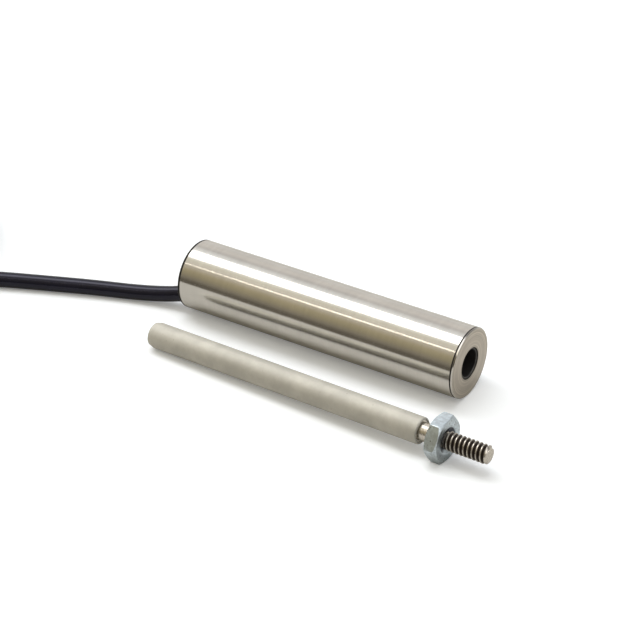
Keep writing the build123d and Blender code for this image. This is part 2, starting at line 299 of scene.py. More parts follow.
def turned(name, outline, closed=True, steps=ROUND_STEPS):
    """Turns a piece about X: a ring is extruded from corner to corner of its (x, radius) outline."""
    (x, radius), *corners = supported(list(outline), closed)
    piece = added(name, bpy.ops.mesh.primitive_circle_add, vertices=steps, radius=radius,
                  location=(x, 0, 0), rotation=(0, pi / 2, 0))
    bpy.ops.object.mode_set(mode="EDIT")
    bpy.ops.mesh.select_mode(type="EDGE")
    bpy.ops.mesh.select_all(action="SELECT")
    for next_x, next_radius in corners:
        bpy.ops.mesh.extrude_region_move(TRANSFORM_OT_translate={"value": (next_x - x, 0, 0)})
        if abs(next_radius - radius) > SMALLEST:
            share = next_radius / radius
            bpy.ops.transform.resize(value=(1, share, share), center_override=(next_x, 0, 0))
        x, radius = next_x, next_radius
    return close_up(piece, bridge=closed)


def rounded(piece, width, segments=2, angle=28):
    """Rounds the edges that are sharper than an angle."""
    return modified(piece, "BEVEL", width=width, segments=segments, limit_method="ANGLE",
                    angle_limit=radians(angle))


def combined(piece, tool, operation):
    """Cuts one piece with another, or joins them, and takes the other away."""
    modified(piece, "BOOLEAN", operation=operation, solver="EXACT", object=tool)
    pick(tool)
    bpy.ops.object.delete()
    if not piece.data.polygons:
        raise RuntimeError(f"nothing is left of {piece.name}")
    return piece


def put(piece, matrix):
    """Moves a piece, with its place kept in its mesh."""
    pick(piece)
    piece.matrix_world = matrix
    bpy.ops.object.transform_apply()
    return piece


def dressed(piece, body, material, nodes=(), smooth=35):
    """Shades and paints a finished piece, puts it under its body, and hides the solids it stands for."""
    pick(piece)
    if piece.type == "MESH":
        bpy.ops.object.shade_smooth_by_angle(angle=radians(smooth))
    piece.data.materials.clear()
    piece.data.materials.append(material)
    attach(piece, body)
    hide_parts(*nodes)
    return piece


# Shader maths


class Wire:
    """A node's output. Python's operators on it add Math nodes."""

    def __init__(self, sheet, socket):
        self.sheet, self.socket = sheet, socket

    def out(self, name):
        """Another output of the same node."""
        return Wire(self.sheet, self.socket.node.outputs[name])

    def maths(self, operation, *others):
        return self.sheet.node("ShaderNodeMath", {"operation": operation}, dict(enumerate((self, *others))))

    def __add__(self, other):
        return self.maths("ADD", other)

    def __mul__(self, other):
        return self.maths("MULTIPLY", other)

    def __sub__(self, other):
        return self.maths("SUBTRACT", other)

    def __truediv__(self, other):
        return self.maths("DIVIDE", other)

    def __rsub__(self, other):
        return self.sheet.node("ShaderNodeMath", {"operation": "SUBTRACT"}, {0: other, 1: self})

    def __neg__(self):
        return self * -1.0

    def __abs__(self):
        return self.maths("ABSOLUTE")

    __radd__ = __add__
    __rmul__ = __mul__

    def within(self, low, high):
        """0 below low and 1 above high, with a smooth rise between them. It falls if low is above high."""
        return self.sheet.node("ShaderNodeMapRange", {"interpolation_type": "SMOOTHSTEP"},
                               {"Value": self, "From Min": low, "From Max": high})


class Sheet:
    """A node tree that expressions fill."""

    def __init__(self, tree):
        self.tree = tree
        tree.nodes.clear()

    def node(self, kind, settings=None, sockets=None, output=0):
        """Adds a node, sets it, and then gives its sockets their values or links."""
        made = self.tree.nodes.new(kind)
        for name, value in (settings or {}).items():
            if name == "stops":
                self.set_stops(made.color_ramp, value)
            else:
                setattr(made, name, value)
        for name, value in (sockets or {}).items():
            if isinstance(value, Wire):
                self.tree.links.new(value.socket, made.inputs[name])
            else:
                made.inputs[name].default_value = value
        return Wire(self, made.outputs[output]) if made.outputs else None

    @staticmethod
    def set_stops(ramp, stops):
        while len(ramp.elements) < len(stops):
            ramp.elements.new(1.0)
        for element, (position, shade) in zip(ramp.elements, stops):
            element.position, element.color = position, (*shade, 1.0)

    def combine(self, x, y, z):
        return self.node("ShaderNodeCombineXYZ", {}, {"X": x, "Y": y, "Z": z})

    def blend(self, share, first, second, how="MIX"):
        """A colour between two, or their product where it says how."""
        return self.node("ShaderNodeMix", {"data_type": "RGBA", "blend_type": how},
                         {0: share, 6: first, 7: second}, output=2)


def shade(base, factor):
    """A colour made lighter or darker, with its alpha."""
    return (*(min(1.0, c * factor) for c in base), 1.0)


class Finish(Sheet):
    """A material whose patterns read Object coordinates, turned to lie along a piece where needed."""

    def __init__(self, name, along=None):
        self.material = bpy.data.materials.new(name)
        self.material.use_nodes = True
        super().__init__(self.material.node_tree)
        self.point = self.node("ShaderNodeTexCoord", output=3)
        if along:
            spot, turn_by = along.to_translation(), along.to_euler()
            self.point = self.node("ShaderNodeMapping", {"vector_type": "TEXTURE"},
                                   {"Vector": self.point, "Location": spot, "Rotation": turn_by})
        self.x = self.node("ShaderNodeSeparateXYZ", {}, {"Vector": self.point})
        self.y, self.z = self.x.out("Y"), self.x.out("Z")

    def radius(self):
        """Distance from the X axis."""
        return (self.y * self.y + self.z * self.z).maths("SQRT")

    def noise(self, scale, detail=2.0, roughness=0.5, at=None):
        """Fractal noise about 0.5."""
        return self.node("ShaderNodeTexNoise", {}, {"Vector": at or self.point, "Scale": scale,
                                                    "Detail": detail, "Roughness": roughness})

    def stretched(self, x, y, z, **looks):
        """Noise whose scale differs from axis to axis."""
        return self.noise(1.0, at=self.combine(x, y, z), **looks)

    def drawn_lines(self, along, across):
        """Fine lines along X, such as drawing or rolling leaves."""
        return self.stretched(self.x * along, self.y * across, self.z * across)

    def cells(self, scale):
        """Distance from the nearest of scattered points."""
        return self.node("ShaderNodeTexVoronoi", {"feature": "F1"}, {"Vector": self.point, "Scale": scale})

    def bands(self, direction, scale, profile="SIN", distortion=0.0, detail=2.0):
        """Stripes that follow each other in one direction."""
        return self.node("ShaderNodeTexWave", {"bands_direction": direction, "wave_profile": profile},
                         {"Vector": self.point, "Scale": scale, "Distortion": distortion, "Detail": detail})

    def tint(self, pattern, base, first, second):
        """A colour that a pattern makes lighter or darker."""
        return self.blend(pattern, shade(base, first), shade(base, second))

    def bump(self, height, depth):
        """Relief of a real depth in metres, for a height from 0 to 1."""
        return self.node("ShaderNodeBump", {}, {"Height": height, "Strength": 1.0, "Distance": depth})

    def done(self, **sockets):
        """Feeds the shader and returns the material."""
        named = {name.replace("_", " "): value for name, value in sockets.items()}
        shader = self.node("ShaderNodeBsdfPrincipled", {}, named)
        self.node("ShaderNodeOutputMaterial", {}, {"Surface": shader})
        return self.material


# Finishes


def turned_steel(name, base, painted_shade, seams, faces):
    """Satin steel with fine rings from the lathe, duller end faces with painted reflection, and painted shade
    in its seam grooves.
    """
    f = Finish(name)
    radius = f.radius()
    run = f.x + radius
    rings = f.stretched(run * 4200, f.y * 90, f.z * 90, detail=4.0, roughness=0.7)
    coarse = f.stretched(run * 1100, f.y * 200, f.z * 200)
    stains = f.noise(140.0, detail=4.0, roughness=0.6)
    facing = f.stretched(radius * 3400, 0.0, 0.0, roughness=0.6)
    end, seam_shade = 0.0, 0.0
    for face in faces:
        end = abs(f.x - face).within(0.03 * MM, 0.01 * MM) + end
    # Painted shade: the seam grooves are painted nearly black, rough and hardly metallic, in place of the
    # shade and dark reflection there
    for seam, half in seams:
        seam_shade = abs(f.x - seam).within(half + 0.02 * MM, half - 0.01 * MM) + seam_shade
    tone = 0.89 + rings * 0.14 + coarse * 0.08 + end * (facing - 0.5) * 1.7
    # Painted reflection: the end faces are painted darker and warmer, in place of the warm table that they
    # reflect
    tones = [tone * (1.0 - end * fall) for fall in (0.18, 0.22, 0.27)]
    plain = f.tint(stains.within(0.35, 0.75), base, 0.95, 1.03)
    toned = f.blend(1.0, plain, f.combine(*tones), how="MULTIPLY")
    return f.done(Base_Color=f.blend(seam_shade, toned, (*painted_shade, 1.0)), Metallic=1.0 - seam_shade * 0.9,
                  Roughness=0.07 + rings * 0.06 + stains * 0.05 + seam_shade * 0.5 + end * 0.2,
                  Normal=f.bump(rings + coarse, 0.006 * MM))


def lined_bore(name, base, bore, mouth, face):
    """Drawn tube, painted nearly black in its bore and on its face round the mouth."""
    f = Finish(name)
    radius = f.radius()
    # The bore and the face round the mouth are painted nearly black with a faint mottle; the rest is 15 % of
    # the steel colour
    inside = radius.within(bore + 0.03 * MM, bore + 0.01 * MM)
    mouth_ring = radius.within(mouth + 0.01 * MM, mouth + 0.05 * MM) * f.x.within(face - 0.1 * MM, face)
    dark = inside.maths("MAXIMUM", mouth_ring)
    lines = f.drawn_lines(200, 5000)
    dark_mottle = f.noise(900.0, detail=3.0)
    darkness = f.blend(dark_mottle, (0.006, 0.006, 0.007, 1.0), (0.02, 0.019, 0.018, 1.0))
    return f.done(Base_Color=f.blend(dark, shade(base, 0.15), darkness), Metallic=1.0 - dark,
                  Roughness=0.28 + dark * 0.4 + lines * 0.1, Normal=f.bump(lines, 0.003 * MM))


def drawn_steel(name, base, along=None):
    """Drawn and lightly blasted tube: matt, with faint lines along it and small marks."""
    f = Finish(name, along)
    lines = f.drawn_lines(60, 5200)
    blast = f.noise(9000.0)
    stains = f.noise(260.0, detail=4.0, roughness=0.62)
    specks = f.cells(900.0).within(0.13, 0.05) * f.noise(320.0).within(0.5, 0.62)
    worn = f.tint(stains.within(0.3, 0.75), base, 1.05, 1.22)
    return f.done(Base_Color=f.blend(specks * 0.3, worn, shade(base, 0.45)), Metallic=1.0,
                  Roughness=0.66 + blast * 0.1 + stains * 0.06 + specks * 0.1,
                  Normal=f.bump(lines * 0.5 + blast, 0.004 * MM))


def thread_steel(name, base, along, rod):
    """Bright crests over roots painted dark brown as painted shade."""
    f = Finish(name, along)
    crest, depth = rod.crest / 2, rod.thread_depth
    deep = f.radius().within(crest - 0.04 * depth, crest - 0.4 * depth)
    starts = f.x.within(rod.relief_end - 0.2 * MM, rod.relief_end + 0.1 * MM)
    ends = f.x.within(rod.tip - 0.3 * MM, rod.tip - 0.5 * MM)
    # Painted shade: darker deeper in the groove, faded out where the full thread starts and on the tip's
    # chamfer
    root_shade = deep * starts * ends
    grit = f.noise(2600.0, detail=3.0, roughness=0.6)
    metal = f.tint(grit.within(0.3, 0.8), base, 0.9, 1.1)
    return f.done(Base_Color=f.blend(root_shade, metal, (0.035, 0.024, 0.018, 1.0)),
                  Metallic=1.0 - root_shade * 0.6, Roughness=0.22 + grit * 0.12 + root_shade * 0.2,
                  Normal=f.bump(grit, 0.004 * MM))


def zinc_plate(name, base, along, nut):
    """Bluish zinc plate, finely mottled and pitted, with painted shade in the countersinks, thinner at their
    bottom where they face up into the light.
    """
    f = Finish(name, along)
    mottle = f.noise(1500.0, detail=4.0, roughness=0.65)
    cloud = f.noise(420.0)
    pit = f.cells(1900.0).within(0.3, 0.14) * cloud.within(0.43, 0.53)
    # Painted shade in the countersinks (kept in the name painted_shade), faded out at their bottom, which
    # faces up and catches light
    sunk = f.radius().within(nut.sink / 2 - 0.02 * MM, nut.sink / 2 - 0.25 * MM)
    painted_shade = sunk * (1.0 - f.z.within(-1.2 * MM, -1.9 * MM) * 0.8)
    plate = f.tint(mottle.within(0.35, 0.7), base, 0.92, 1.2)
    pitted = f.blend(pit * 0.8, plate, (0.14, 0.17, 0.2, 1.0))
    return f.done(Base_Color=f.blend(painted_shade * 0.9, pitted, (0.02, 0.024, 0.045, 1.0)),
                  Metallic=1.0 - painted_shade * 0.5, Roughness=0.26 + mottle * 0.16 + cloud * 0.06,
                  Normal=f.bump(mottle + pit * -0.6, 0.008 * MM))


def jacket(name, base):
    """Smooth extruded jacket with faint handling marks."""
    f = Finish(name)
    skin = f.noise(5200.0, detail=3.0, roughness=0.6)
    smear = f.noise(330.0, detail=3.0)
    return f.done(Base_Color=f.tint(smear.within(0.35, 0.7), base, 0.85, 1.15),
                  Roughness=0.15 + skin * 0.07 + smear * 0.05, Specular_IOR_Level=0.4,
                  Specular_Tint=(0.82, 0.82, 1.0, 1.0), Normal=f.bump(skin, 0.002 * MM))


def plastic(name, base, rough):
    """Moulded plastic with a fine skin and slight colour flow."""
    f = Finish(name)
    skin = f.noise(2400.0, detail=3.0, roughness=0.6)
    flow = f.noise(300.0)
    return f.done(Base_Color=f.tint(flow.within(0.3, 0.7), base, 0.9, 1.08),
                  Roughness=rough + skin * 0.12, Normal=f.bump(skin, 0.006 * MM))


def wound_wire(name, base):
    """Enamelled wire, turn beside turn."""
    f = Finish(name)
    turns = f.bands("X", 2600.0, distortion=0.3, detail=1.0)
    return f.done(Base_Color=f.tint(f.noise(700.0), base, 0.8, 1.2), Metallic=0.85,
                  Roughness=0.25 + turns * 0.15, Normal=f.bump(turns, 0.03 * MM))


def film_tape(name, base):
    """Amber film wound with overlapping edges."""
    f = Finish(name)
    laps = f.bands("X", 55.0, profile="SAW", distortion=0.6)
    clouds = f.noise(500.0)
    return f.done(Base_Color=f.tint(laps.within(0.82, 0.98), base, 1.0, 0.6),
                  Roughness=0.2 + clouds * 0.15, Normal=f.bump(laps, 0.02 * MM))


def sheet_alloy(name, base):
    """Annealed sheet: matt grey with heat tints."""
    f = Finish(name)
    heat = f.noise(190.0, detail=3.0).within(0.4, 0.7)
    grain = f.drawn_lines(300, 4000)
    return f.done(Base_Color=f.blend(heat, shade(base, 1.0), (0.42, 0.38, 0.34, 1.0)), Metallic=1.0,
                  Roughness=0.38 + grain * 0.14, Normal=f.bump(grain, 0.004 * MM))


def glass_board(name, base):
    """Glass-filled board with its cloth weave under the lacquer."""
    f = Finish(name)
    weave = f.bands("Y", 900.0) * f.bands("Z", 900.0)
    return f.done(Base_Color=f.tint(weave, base, 0.85, 1.35), Roughness=0.35 + weave * 0.1,
                  Normal=f.bump(weave, 0.01 * MM))


def tinned(name, base, strands=0.0, along=None):
    """Tinned metal, with twisted strands where a wire's end is bare."""
    f = Finish(name, along)
    tin = f.noise(2200.0, detail=3.0)
    height, depth = tin, 0.005 * MM
    if strands:
        angle = f.y.maths("ARCTAN2", f.z)
        height = (angle * 6.0 + f.x * strands).maths("SINE") * 0.5 + 0.5
        depth = 0.05 * MM
    return f.done(Base_Color=f.tint(tin, base, 0.85, 1.1), Metallic=1.0,
                  Roughness=0.24 + tin * 0.16, Normal=f.bump(height, depth))


def core_colours(name, middle_y, middle_z):
    """Insulation in a different colour for each quarter of the cable."""
    f = Finish(name)
    left = (f.y - middle_y).within(-0.02 * MM, 0.02 * MM)
    top = (f.z - middle_z).within(-0.02 * MM, 0.02 * MM)
    upper = f.blend(left, (0.5, 0.03, 0.02, 1.0), (0.75, 0.73, 0.68, 1.0))
    lower = f.blend(left, (0.02, 0.02, 0.02, 1.0), (0.03, 0.22, 0.06, 1.0))
    skin = f.noise(3000.0)
    return f.done(Base_Color=f.blend(top, lower, upper), Roughness=0.35 + skin * 0.1,
                  Normal=f.bump(skin, 0.006 * MM))


# Places


def settings():
    return bpy.context.scene.sensor


def floor_height():
    return -settings().housing.diameter / 2


def rod_place():
    """Where the core rod lies, on its tail's edge and on one flat of its nut."""
    rod, nut = settings().rod, settings().nut
    tilt = atan2((nut.flats - rod.diameter) / 2, nut.middle - nut.thickness / 2 - rod.nose)
    height = floor_height() + rod.diameter / 2 * cos(tilt) - rod.nose * sin(tilt)
    lie = Matrix.Rotation(rod.turned_by, 4, "Z") @ Matrix.Rotation(-tilt, 4, "Y")
    return Matrix.Translation((rod.tail.x, rod.tail.y, height)) @ lie


def coil_frame():
    """Columns and layers of the coil's turns, from the outside and from below, and the groove on top."""
    cable = settings().cable
    gap = cable.diameter
    low = floor_height() + cable.coil_lift + gap / 2
    columns = (COIL_RADIUS + gap, COIL_RADIUS, COIL_RADIUS - gap)
    layers = (low, low + gap, low + 2 * gap)
    groove = (COIL_RADIUS - gap / 2, layers[2] + gap * sin(pi / 3))
    return columns, layers, groove


def coil_turns():
    """(degrees run, radius, height) marks along the coil. Between the marks of a pair the cable stays."""
    (outer, middle, inner), (low, centre, high), (groove, top) = coil_frame()
    return [
        (0, outer, low), (315, outer, low), (360, middle, low), (675, middle, low), (720, inner, low),
        (990, inner, low), (1035, inner, centre), (1305, inner, centre), (1350, middle, centre),
        (1665, middle, centre), (1710, outer, centre), (1980, outer, centre), (2025, outer, high),
        (2295, outer, high), (2340, middle, high), (2655, middle, high), (2700, inner, high),
        (2880, inner, high), (2925, groove, top), (3186, groove, top),
    ]


def on_coil(radius, angle, height):
    """A place on the coil, from its own axis."""
    middle = settings().cable.coil_middle
    return (middle.x + radius * cos(angle), middle.y + radius * sin(angle), height)


def coil_points():
    """Points of the cable's line in the coil, spread a little so that the smooth line has its radius."""
    cable = settings().cable
    step = cable.point_step
    spread = 2 / (1 + cos(step / 2) ** 2)
    marks, points = coil_turns(), []
    end = radians(marks[-1][0])
    for k in range(1, ceil(end / step) + 1):
        angle = min(k * step, end)
        (a0, r0, z0), (a1, r1, z1) = next(p for p in zip(marks, marks[1:])
                                          if angle <= radians(p[1][0]) + SMALLEST)
        share = (angle - radians(a0)) / radians(a1 - a0)
        ease = share * share * (3 - 2 * share)
        radius, height = (r0 + (r1 - r0) * ease) * spread, z0 + (z1 - z0) * ease
        points.append(on_coil(radius, cable.coil_start - angle, height))
    return points


def cable_route():
    """The cable's seen stretch: square out of the rear cap, down, and along the floor to the coil."""
    cable = settings().cable
    lies = floor_height() + cable.diameter / 2
    route = [(-56.25, -2.5, -3.45), (-57.85, -2.5, -3.45), (-60.85, -3.15, -4.25)]
    along_floor = [(-66.65, -4.75), (-74.25, -7.3), (-83.05, -10.75), (-93.05, -14.75)]
    points = [tuple(v * MM for v in spot) for spot in route]
    points += [(x * MM, y * MM, lies) for x, y in along_floor]
    points.append((-102.3 * MM, -20.6 * MM, lies + 0.1 * MM))
    columns, layers, _ = coil_frame()
    points.append(on_coil(columns[0], cable.coil_start, layers[0]))
    return points


def lead_place():
    """Where the jacket ends on the coil: X runs on along the cable."""
    cable = settings().cable
    _, layers, (groove, _) = coil_frame()
    angle = cable.coil_start - radians(coil_turns()[-1][0])
    height = layers[2] + cable.diameter / 2 + cable.wire / 2
    return Matrix.Translation(on_coil(groove, angle, height)) @ Matrix.Rotation(angle - pi / 2, 4, "Z")


# Housing operators


def housing_steel():
    h = settings().housing
    ready = bpy.data.materials.get("turned housing steel")
    # Widths of the painted shade in the front and rear seams
    seams = ((-h.flange, h.front_seam_shade), (h.flange - h.length, h.rear_seam_shade))
    return ready or turned_steel("turned housing steel", h.steel, h.painted_shade, seams, (0.0, -h.length))


class SENSOR_OT_barrel(bpy.types.Operator):
    """Adds the housing's turned barrel"""
    bl_idname = "sensor.barrel"
    bl_label = "Barrel"

    def execute(self, context):
        h = settings().housing
        r, bore = h.diameter / 2, h.diameter / 2 - h.wall
        rear, front = h.flange - h.length, -h.flange
        barrel = turned("barrel", [(rear, bore), (front, bore), (front, r - h.seam), (front - h.seam, r),
                                   (rear + h.seam, r), (rear, r - h.seam)])
        rounded(barrel, h.edge)
        dressed(barrel, "housing", housing_steel(), ["housing_tube"])
        return {"FINISHED"}


class SENSOR_OT_end_caps(bpy.types.Operator):
    """Adds the front cap round the liner and the rear cap with the cable's hole"""
    bl_idname = "sensor.end_caps"
    bl_label = "End caps"

    def outline(self, h, face, inward):
        """Outside of a cap from its face inward, which is -1 for the front cap and 1 for the rear one."""
        r, bore = h.diameter / 2, h.diameter / 2 - h.wall
        steps = [(0, r - h.rim), (h.rim, r), (h.flange - h.seam, r), (h.flange, r - h.seam),
                 (h.flange, bore), (h.flange + h.spigot - h.seam, bore),
                 (h.flange + h.spigot, bore - h.seam)]
        return [(face + inward * x, radius) for x, radius in steps]

    def execute(self, context):
        h, cable = settings().housing, settings().cable
        outside, hole = self.outline(h, 0.0, -1), h.liner_diameter / 2
        front = turned("front_end_cap", [(0.0, hole), *outside, (outside[-1][0], hole)])
        rounded(front, h.edge)
        dressed(front, "housing", housing_steel(), ["front_cap"])
        rear = turned("rear_end_cap", self.outline(h, -h.length, 1), closed=False)
        exit_x, exit_y, exit_z = cable_route()[0]
        play, depth, past = 0.05 * MM, 5 * MM, MM
        tool = added("cable_hole", bpy.ops.mesh.primitive_cylinder_add, vertices=48,
                     radius=cable.diameter / 2 + play, depth=depth,
                     location=(exit_x - past + depth / 2, exit_y, exit_z), rotation=(0, pi / 2, 0))
        combined(rear, tool, "DIFFERENCE")
        rounded(rear, h.edge)
        dressed(rear, "housing", housing_steel(), ["rear_cap"])
        return {"FINISHED"}


class SENSOR_OT_liner(bpy.types.Operator):
    """Adds the thin tube that lines the bore"""
    bl_idname = "sensor.liner"
    bl_label = "Bore liner"

    def execute(self, context):
        h = settings().housing
        outer, inner, seat = h.liner_diameter / 2, h.bore_diameter / 2, h.seat_diameter / 2
        front, rear = -h.liner_recess, -h.liner_recess - h.liner_length
        liner = turned("liner", [(rear, seat), (-h.bore_depth, seat), (-h.bore_depth, inner),
                                 (front - h.liner_mouth, inner), (front, inner + h.liner_mouth),
                                 (front, outer), (rear, outer)], steps=96)
        rounded(liner, h.edge)
        steel = lined_bore("drawn liner steel", record_colours["liner_steel"], inner,
                           inner + h.liner_mouth, front)
        dressed(liner, "housing", steel, ["bore_liner"])
        return {"FINISHED"}


# Core rod operators


class SENSOR_OT_rod_tube(bpy.types.Operator):
    """Adds the core rod's tube and its tapered tail"""
    bl_idname = "sensor.rod_tube"
    bl_label = "Rod tube"

    def execute(self, context):
        rod = settings().rod
        r, bore, end = rod.diameter / 2, rod.bore / 2, rod.length
        quarter = [radians(15 * k) for k in range(7)]
        rim = [(end - rod.rim_round * (1 - sin(a)), r - rod.rim_fall * (1 - cos(a))) for a in quarter]
        chamfer = 0.1 * MM
        inside = [(end, bore + chamfer), (end - chamfer, bore), (rod.nose, bore), (rod.nose, r)]
        steel = drawn_steel("drawn rod steel", rod.steel, rod_place())
        tube = rounded(turned("rod_tube", rim + inside, steps=128), FINE_EDGE)
        dressed(put(tube, rod_place()), "core", steel, ["core_tube"])
        tip, spigot = r - rod.nose_fall, rod.nose + rod.nose_spigot
        tail = turned("rod_tail", [(0.0, tip - rod.nose_edge), (rod.nose_bevel, tip),
                                   (rod.nose, r - rod.nose_seam), (rod.nose, bore), (spigot, bore)],
                      closed=False, steps=128)
        rounded(tail, SOFT_EDGE)
        dressed(put(tail, rod_place()), "core", steel, ["core_end_plug"], smooth=9)
        return {"FINISHED"}


class SENSOR_OT_stud(bpy.types.Operator):
    """Adds the stud with its neck and its cut right-hand thread"""
    bl_idname = "sensor.stud"
    bl_label = "Threaded stud"

    def groove(self, rod):
        """The thread's groove, wound about X from inside the nut past the stud's tip."""
        past = 0.04 * MM
        crest, root = rod.crest / 2 + past, rod.crest / 2 - rod.thread_depth
        wide = rod.root_flat + 2 * (crest - root) * tan(THREAD_FLANK)
        start, middle = rod.relief_end - rod.pitch, (crest + root) / 2
        section = added("thread_groove", bpy.ops.mesh.primitive_plane_add, size=wide,
                        location=(start, 0, middle), rotation=(pi / 2, 0, 0))
        bpy.ops.object.mode_set(mode="EDIT")
        bpy.ops.transform.resize(value=(1, 1, (crest - root) / wide), center_override=(start, 0, middle))
        select_where(section, lambda spot: spot.z < middle)
        bpy.ops.transform.resize(value=(rod.root_flat / wide, 1, 1), center_override=(start, 0, root))
        bpy.ops.mesh.select_all(action="SELECT")
        bpy.ops.mesh.delete(type="ONLY_FACE")
        bpy.ops.object.mode_set(mode="OBJECT")
        modified(section, "SCREW", axis="X", angle=2 * pi, screw_offset=rod.pitch, steps=64, render_steps=64,
                 iterations=ceil((rod.tip - start) / rod.pitch) + 1)
        bpy.ops.object.mode_set(mode="EDIT")
        return close_up(section)

    def execute(self, context):
        rod = settings().rod
        face = rod.length - rod.face_step
        shank, neck, relief, crest = (d / 2 for d in (rod.bore, rod.neck, rod.relief, rod.crest))
        fall = rod.tip_chamfer
        dome = 0.35 * fall
        stud = turned("stud", [(face - rod.shank, shank), (face, shank), (face, neck),
                               (rod.relief_start, neck), (rod.relief_start, relief),
                               (rod.relief_end, relief), (rod.relief_end, crest),
                               (rod.tip - fall, crest), (rod.tip - dome, crest - dome),
                               (rod.tip, crest - fall)],
                      closed=False, steps=96)
        rounded(stud, SOFT_EDGE)
        combined(stud, self.groove(rod), "DIFFERENCE")
        steel = thread_steel("bright thread steel", rod.thread_steel, rod_place(), rod)
        dressed(put(stud, rod_place()), "core", steel, ["threaded_stud"], smooth=40)
        return {"FINISHED"}


class SENSOR_OT_nut(bpy.types.Operator):
    """Adds the zinc-plated hexagon nut"""
    bl_idname = "sensor.nut"
    bl_label = "Hexagon nut"

    def execute(self, context):
        nut = settings().nut
        half, corner = nut.thickness / 2, nut.flats / 2 / cos(pi / 6)
        piece = added("zinc_nut", bpy.ops.mesh.primitive_cylinder_add, vertices=6, radius=corner,
                      depth=nut.thickness, location=(nut.middle, 0, 0), rotation=(0, pi / 2, 0))
        bpy.ops.object.mode_set(mode="EDIT")
        bpy.ops.mesh.select_mode(type="EDGE")
        bpy.ops.mesh.select_all(action="DESELECT")
        mesh = bmesh.from_edit_mesh(piece.data)
        for edge in mesh.edges:
            ends = [v.co.x for v in edge.verts]
            edge.select_set(abs(ends[0] - ends[1]) > half)
        bmesh.update_edit_mesh(piece.data)
        bpy.ops.mesh.bevel(offset=nut.corner, segments=4, affect="EDGES")
        bpy.ops.object.mode_set(mode="OBJECT")
        rear, front = nut.middle - half, nut.middle + half
        circle, past = nut.face_share * nut.flats / 2, corner + 0.2 * MM
        fall = (past - circle) * tan(nut.chamfer)
        cones = turned("cones", [(rear, circle), (rear + fall, past), (front - fall, past), (front, circle)],
                       closed=False, steps=144)
        combined(piece, cones, "INTERSECT")
        sink, bore, out = nut.sink / 2, nut.bore / 2, 0.5 * MM
        hole = turned("hole", [(rear - out, sink), (rear, sink), (rear + nut.sink_depth, bore),
                               (front - nut.sink_depth, bore), (front, sink), (front + out, sink)],
                      closed=False, steps=96)
        combined(piece, hole, "DIFFERENCE")
        rounded(piece, nut.edge, angle=22)
        zinc = zinc_plate("bluish zinc plate", nut.zinc, rod_place(), nut)
        dressed(put(piece, rod_place()), "nut", zinc, ["hex_nut"], smooth=30)
        return {"FINISHED"}


# Cable operators


class SENSOR_OT_tie(bpy.types.Operator):
    """Adds the strap that holds the coil, with its head inside the coil"""
    bl_idname = "sensor.tie"
    bl_label = "Coil tie"

    def hull(self, name, radius, width):
        """A block drawn tight round the corner turns of the bundle."""
        columns, layers, groove = coil_frame()
        turns = [(r, z) for r in (columns[0], columns[2]) for z in (layers[0], layers[2])]
        post = {"vertices": 40, "radius": radius, "depth": width, "rotation": (pi / 2, 0, 0)}
        (x, z), *others = turns + [groove]
        block = added(name, bpy.ops.mesh.primitive_cylinder_add, location=(x, 0, z), **post)
        bpy.ops.object.mode_set(mode="EDIT")
        for x, z in others:
            bpy.ops.mesh.primitive_cylinder_add(location=(x, 0, z), **post)
        bpy.ops.mesh.select_all(action="SELECT")
        bpy.ops.mesh.convex_hull()
        bpy.ops.object.mode_set(mode="OBJECT")
        return block

    def execute(self, context):
        cable = settings().cable
        columns, layers, _ = coil_frame()
        strap = self.hull("strap", cable.diameter / 2 + cable.tie_thickness, cable.tie_width)
        combined(strap, self.hull("bundle", cable.diameter / 2, 2 * cable.tie_width), "DIFFERENCE")
        rounded(strap, 0.1 * MM)
        thickness, width, height, clear = 1.9 * MM, 3.9 * MM, 3.2 * MM, 0.1 * MM
        head_middle = columns[2] - cable.diameter / 2 - clear - thickness / 2
        head = added("head", bpy.ops.mesh.primitive_cube_add, size=1, location=(head_middle, 0, layers[1]),
                     scale=(thickness, width, height))
        rounded(head, 0.35 * MM, segments=3)
        combined(strap, head, "UNION")
        spot = Matrix.Translation((cable.coil_middle.x, cable.coil_middle.y, 0))
        put(strap, spot @ Matrix.Rotation(cable.tie_angle, 4, "Z"))
        black = plastic("black strap plastic", record_colours["tie_plastic"], rough=0.45)
        dressed(strap, "housing", black, ["coil_tie"])
        return {"FINISHED"}


class SENSOR_OT_leads(bpy.types.Operator):
    """Adds the four flying leads with their bare, twisted ends"""
    bl_idname = "sensor.leads"
    bl_label = "Flying leads"

    def execute(self, context):
        cable = settings().cable
        end, r, bare = cable.wire_length, cable.wire / 2, cable.tip / 2
        tip_end, start, hidden, worn = end + cable.tip_length, -0.8 * MM, 0.3 * MM, 0.1 * MM
        shades = (("red", (0.5, 0.03, 0.02)), ("black", (0.02, 0.02, 0.022)), ("white", (0.75, 0.73, 0.68)),
                  ("green", (0.03, 0.22, 0.06)))
        for k, (word, tint) in enumerate(shades):
            across = k - (len(shades) - 1) / 2
            lie = (lead_place() @ Matrix.Translation((0, cable.wire * 1.1 * across, 0))
                   @ Matrix.Rotation(cable.fan * across, 4, "Z"))
            wire = turned(f"lead_{word}", [(start, r * 0.9), (0.0, r), (end - 0.05 * MM, r), (end, r * 0.9),
                                           (end, bare), (end - hidden, bare)], closed=False, steps=24)
            dressed(put(wire, lie), "housing",
                    plastic(f"{word} insulation", tint, rough=0.38), ["lead_wires"])
            tip = turned(f"bare_end_{word}", [(end - hidden, bare * 0.95), (end + worn, bare),
                                              (tip_end - worn, bare), (tip_end, bare * 0.7)],
                         closed=False, steps=24)
            dressed(put(tip, lie), "housing",
                    tinned(f"twisted strands {word}", record_colours["contact_metal"], 5000.0, lie),
                    ["lead_tips"])
        return {"FINISHED"}


